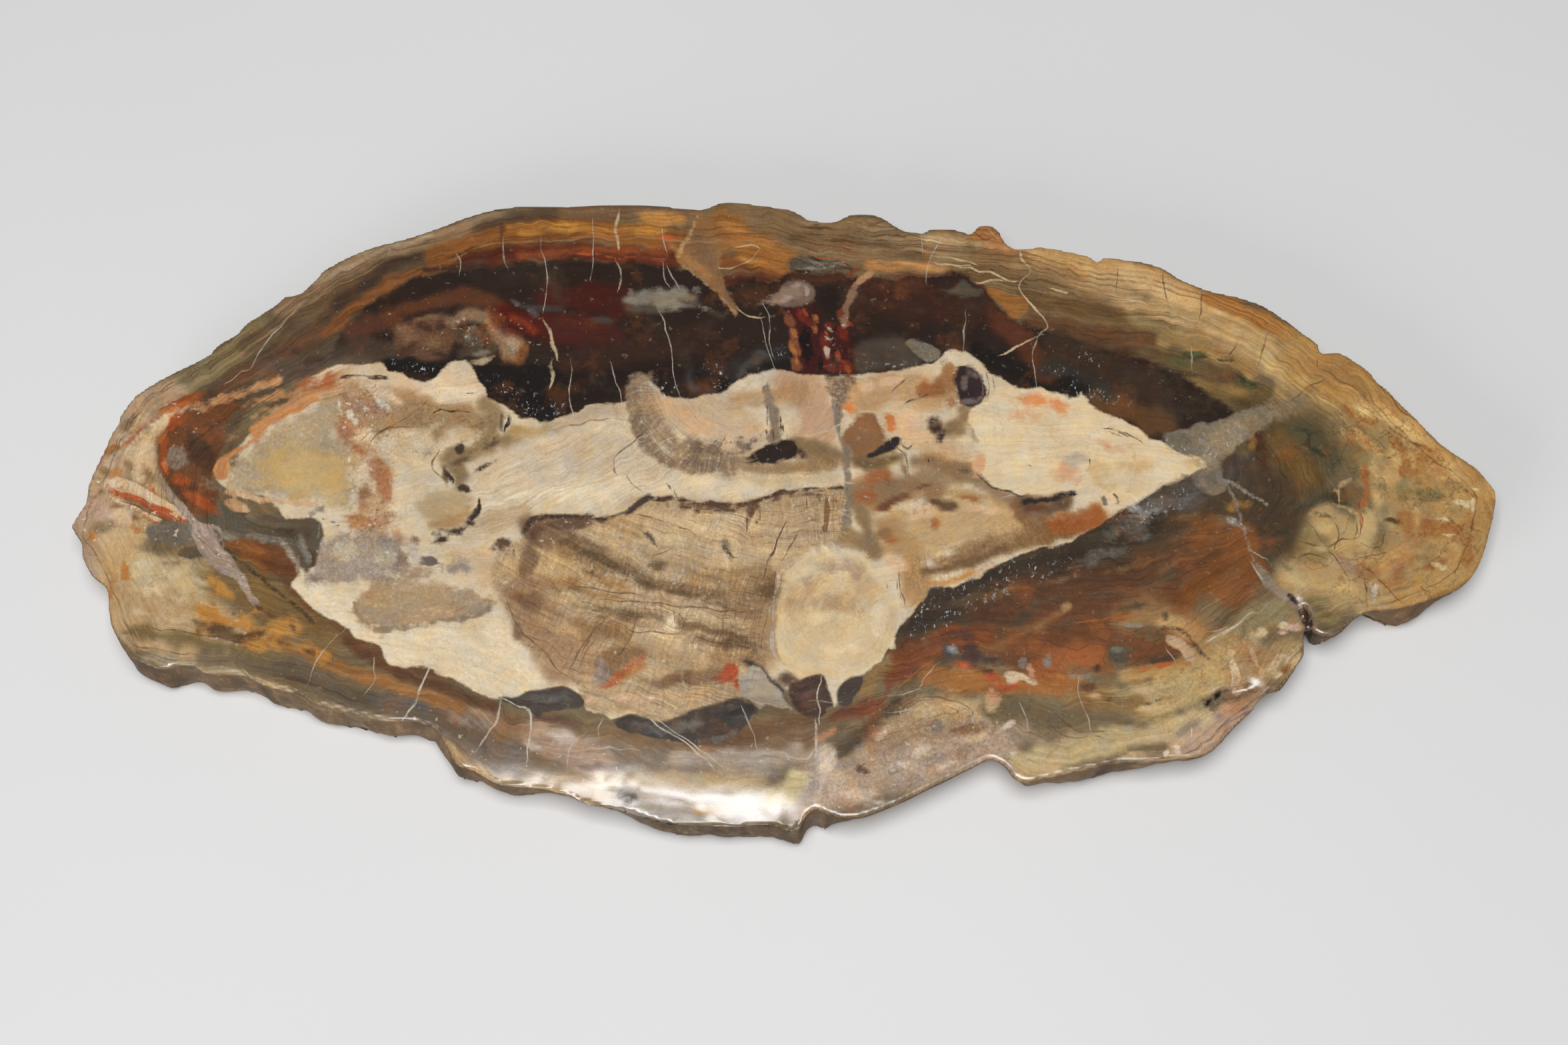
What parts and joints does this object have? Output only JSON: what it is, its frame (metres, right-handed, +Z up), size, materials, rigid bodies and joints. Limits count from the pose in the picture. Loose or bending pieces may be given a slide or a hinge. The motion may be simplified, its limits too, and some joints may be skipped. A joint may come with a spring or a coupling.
{
  "type": "petrified wood slice",
  "caption": "Long, irregular slice of petrified wood lying flat: polished upper face, rough bark wall round the rim, flat sawn underside.",
  "frame": {"origin": "middle of the footprint's box, on the flat underside", "axes": "+X along the slice's length, towards the end with the open crack; +Y across it, towards the smooth bowed rim; +Z up, out of the polished face"},
  "size_m": [0.3574, 0.1692, 0.0181],
  "materials": {
    "petrified_wood": "polished upper face, rough bark wall"
  },
  "bodies": {
    "root": {"petrified_wood_slice": "petrified_wood"}
  },
  "joints": []
}
